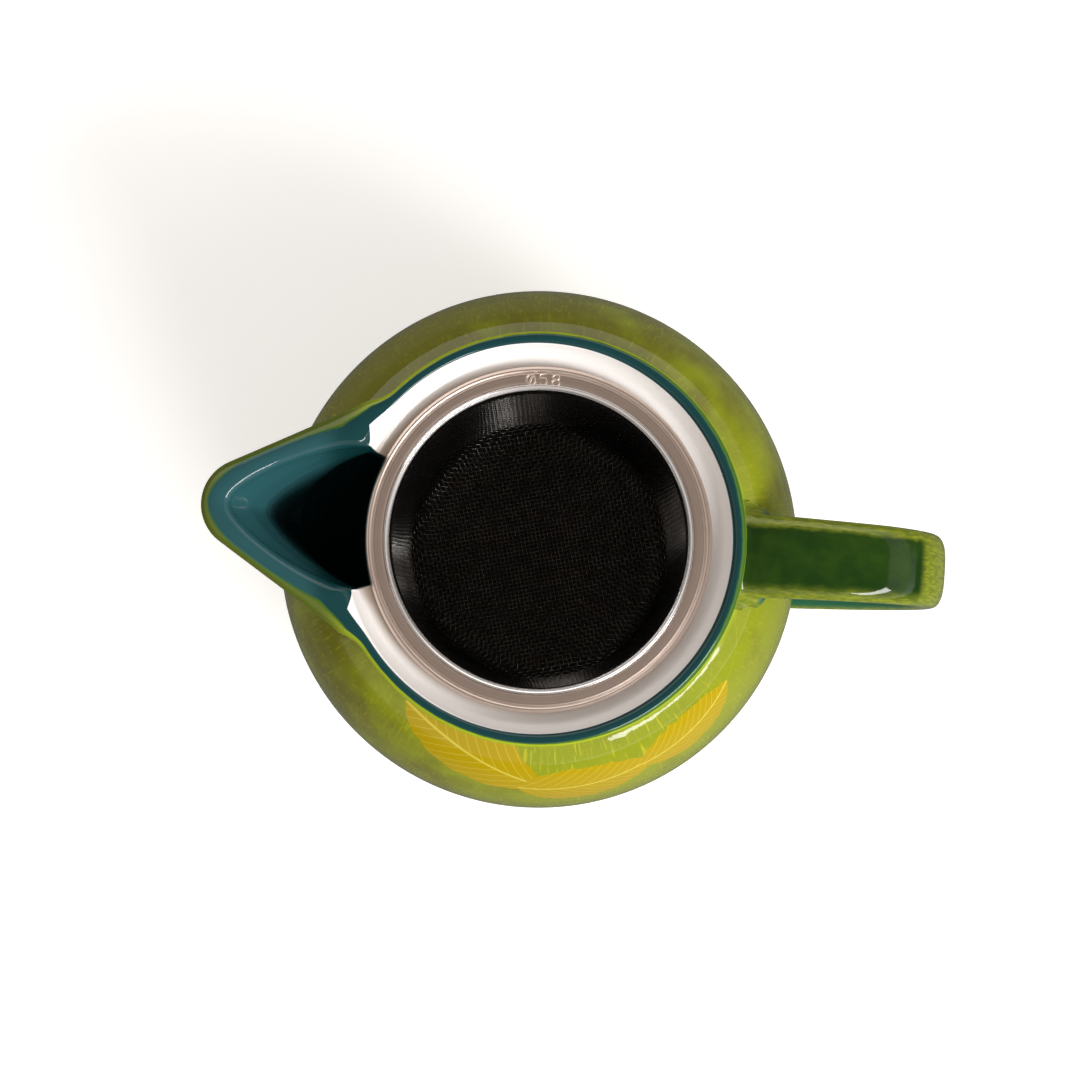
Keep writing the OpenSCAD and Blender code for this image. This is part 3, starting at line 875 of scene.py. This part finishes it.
def on_cup(x, y, height):
    """Places cloth coordinates on the cup. Returns points, and whether each is on the cup."""
    ax, ay = np.abs(x), np.abs(y)
    lo, hi = np.zeros_like(ax), np.full_like(ax, math.pi / 2)
    for _ in range(36):
        m = (lo + hi) / 2
        low = (ax - floor_r * np.cos(m)) * np.sin(m) ** 2 < (ay - floor_r * np.sin(m)) * np.cos(m) ** 2
        lo, hi = np.where(low, m, lo), np.where(low, hi, m)
    m = (lo + hi) / 2
    c, s = np.cos(m), np.sin(m)
    up_x = (ax - floor_r * c) / np.maximum(draw * c * c, 1e-9)
    up_y = (ay - floor_r * s) / np.maximum(draw * s * s, 1e-9)
    up = np.where(c > s, up_x, up_y)
    on_floor = np.hypot(ax, ay) <= floor_r
    turned = np.where(on_floor, np.arctan2(y, x), np.arctan2(s * np.sign(y), c * np.sign(x)))
    up = np.where(on_floor, 0, up)
    rr = np.where(on_floor, np.hypot(x, y), np.interp(up, cup_len, cup_line[:, 0]))
    zz = np.interp(up, cup_len, cup_line[:, 1])
    step = 0.3
    dr = np.interp(up + step, cup_len, cup_line[:, 0]) - np.interp(up - step, cup_len, cup_line[:, 0])
    dz = np.interp(up + step, cup_len, cup_line[:, 1]) - np.interp(up - step, cup_len, cup_line[:, 1])
    size = np.maximum(np.hypot(dr, dz), 1e-9)
    nr, nz = np.where(on_floor, 0, -dz / size), np.where(on_floor, 1, dr / size)
    pressed = 1 - 0.75 * ramp(zz, clamp_low - 2.5, clamp_low - 0.4)
    rr, zz = rr + nr * height * pressed, zz + nz * height * pressed
    turned = turned + weave_turn
    points = np.stack([rr * np.cos(turned), rr * np.sin(turned), zz], -1)
    return points, up <= cup_len[-1]


def wires(along_x):
    """Lines of one set of wires: their points in metres, and their edges."""
    count = int((floor_r + draw * cup_len[-1]) / pitch)
    half_steps = np.arange(-2 * count, 2 * count + 1)
    points, edges = [], []
    for i in range(-count, count + 1):
        other = half_steps * pitch / 2
        fixed = np.full(len(other), i * pitch) + 0.01
        sign = 1 if along_x else -1
        height = sign * wave * np.cos(math.pi * (i + half_steps / 2))
        x, y = (other, fixed) if along_x else (fixed, other)
        p, ok = on_cup(x, y, height)
        first = len(points)
        joined = False
        for q, good in zip(p, ok):
            if good:
                points.append(tuple(q * MM))
                if joined:
                    edges.append((len(points) - 2, len(points) - 1))
            joined = bool(good)
    return points, edges


steel_wire, tree, shader = new_material("steel_wire")
spot = in_mm(tree)
split = tree.nodes.new("ShaderNodeSeparateXYZ")
tree.links.new(spot, split.inputs[0])
wall_share = between(tree, split.outputs[2], floor_level + 2, floor_level + 7)
tint = between(tree, grain(tree, spot, 0.5, 2.0), 0.3, 0.7)
dull = blend(tree, tint, (0.1, 0.095, 0.085), (0.2, 0.19, 0.17))
feed(tree, shader.inputs["Base Color"], blend(tree, wall_share, dull, (0.17, 0.16, 0.15)))
feed(tree, shader.inputs["Roughness"], between(tree, wall_share, 0, 1, 0.26, 0.3))
shader.inputs["Metallic"].default_value = 1
cloth_pieces = []
for name, along_x in (("cloth_warp", True), ("cloth_weft", False)):
    points, edges = wires(along_x)
    cloth_pieces.append(sweep_lines(name, points, edges, wire_r * MM, 4, steel_wire))
for piece in cloth_pieces:
    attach(piece, "strainer")
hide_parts("mesh_basket")

# ---- Camera, floor and lights ------------------------------------------------------------------
# A camera looks down almost straight onto the mouth. The pot stands on a white table, under one
# narrow and one broad soft light, with a pale room around it.
yaw, tilt = math.radians(5.5), math.radians(3.3)
across = Vector((math.cos(yaw), math.sin(yaw), 0))
ahead = Vector((-math.sin(yaw), math.cos(yaw), 0))
rim_centre = Vector((0, 0, rim_z * MM))
camera_far = 0.45
eye = rim_centre + camera_far * (Vector((0, 0, math.cos(tilt))) - math.sin(tilt) * ahead)
aim = rim_centre + 0.00024 * across - 0.00046 * ahead
camera = bpy.data.objects.new("camera", bpy.data.cameras.new("camera"))
bpy.context.scene.collection.objects.link(camera)
back = (eye - aim).normalized()
side = (across - across.dot(back) * back).normalized()
up = back.cross(side)
camera.matrix_world = Matrix.Translation(eye) @ Matrix((side, up, back)).transposed().to_4x4()
camera.data.lens = 77.7
camera.data.sensor_width = 36
camera.data.clip_start = 0.01
bpy.context.scene.camera = camera

floor_mesh = bpy.data.meshes.new("table")
floor_mesh.from_pydata([(-1.5, -1.5, 0), (1.5, -1.5, 0), (1.5, 1.5, 0), (-1.5, 1.5, 0)], [], [(0, 1, 2, 3)])
table = bpy.data.objects.new("table", floor_mesh)
bpy.context.scene.collection.objects.link(table)
white = bpy.data.materials.new("table_white")
white.use_nodes = True
sheet = white.node_tree
spot = in_mm(sheet)
span = sheet.nodes.new("ShaderNodeVectorMath")
span.operation = "LENGTH"
sheet.links.new(spot, span.inputs[0])
paper = blend(sheet, between(sheet, span.outputs["Value"], 190, 270), (0.9, 0.9, 0.9), (0.08, 0.08, 0.08))
# The paper glows faintly of itself: painted light that pales the pot's shadow on it.
sheet.nodes["Principled BSDF"].inputs["Emission Strength"].default_value = 0.4
# For glossy rays the paper is nearly black, so the glaze shows almost no reflection of it: a reflection
# painted out.
path = sheet.nodes.new("ShaderNodeLightPath")
dimmed = blend(sheet, calc(sheet, "MULTIPLY", path.outputs["Is Glossy Ray"], 0.9), paper, (0, 0, 0))
feed(sheet, sheet.nodes["Principled BSDF"].inputs["Base Color"], dimmed)
feed(sheet, sheet.nodes["Principled BSDF"].inputs["Emission Color"], dimmed)
floor_mesh.materials.append(white)

bpy.context.scene.view_settings.view_transform = "Standard"
world = bpy.data.worlds.new("studio")
bpy.context.scene.world = world
world.use_nodes = True
sky = world.node_tree
direction = sky.nodes.new("ShaderNodeTexCoord")
split = sky.nodes.new("ShaderNodeSeparateXYZ")
sky.links.new(direction.outputs["Generated"], split.inputs[0])
height = split.outputs[2]
toward = calc(sky, "MULTIPLY_ADD", split.outputs[0], 0.77, calc(sky, "MULTIPLY", split.outputs[1], -0.64))
low = blend(sky, between(sky, toward, 0.55, 0.9), (0.22, 0.21, 0.2), (1.6, 1.6, 1.6))
walls = blend(sky, between(sky, height, 0.1, 0.14), (0.12, 0.12, 0.12), low)
walls = blend(sky, between(sky, height, 0.26, 0.3), walls, (0.9, 0.85, 0.8))
behind = calc(sky, "MULTIPLY_ADD", split.outputs[0], -0.25, split.outputs[1])
bright = calc(sky, "MULTIPLY", between(sky, behind, 0.35, 0.8), between(sky, height, 0.26, 0.3))
walls = blend(sky, bright, walls, (2.0, 1.95, 1.9))
room = blend(sky, between(sky, height, 0.68, 0.72), walls, (0.23, 0.19, 0.165))
feed(sky, sky.nodes["Background"].inputs["Color"], room)
sky.nodes["Background"].inputs["Strength"].default_value = 1.0


def softbox(name, place, target, size, power):
    """A rectangular soft light at place, in metres, turned to its target."""
    light = bpy.data.lights.new(name, "AREA")
    light.shape, light.size, light.size_y, light.energy = "RECTANGLE", size[0], size[1], power
    lamp = bpy.data.objects.new(name, light)
    lamp.location = place
    lamp.rotation_mode = "QUATERNION"
    lamp.rotation_quaternion = (Vector(place) - Vector(target)).to_track_quat("Z", "Y")
    bpy.context.scene.collection.objects.link(lamp)
    lamp.visible_glossy = name == "key_light"
    return lamp


for name, side_turn, rise, far, size, power in (("key_light", -42, 40, 1.0, (0.6, 0.16), 6),
                                                ("fill_light", -40, 38, 1.1, (0.8, 0.8), 6.5)):
    side_turn, rise = math.radians(side_turn), math.radians(rise)
    level = far * math.cos(rise)
    place = (level * math.cos(side_turn), level * math.sin(side_turn), far * math.sin(rise) + 0.04)
    softbox(name, place, (0, 0, 0.04), size, power)
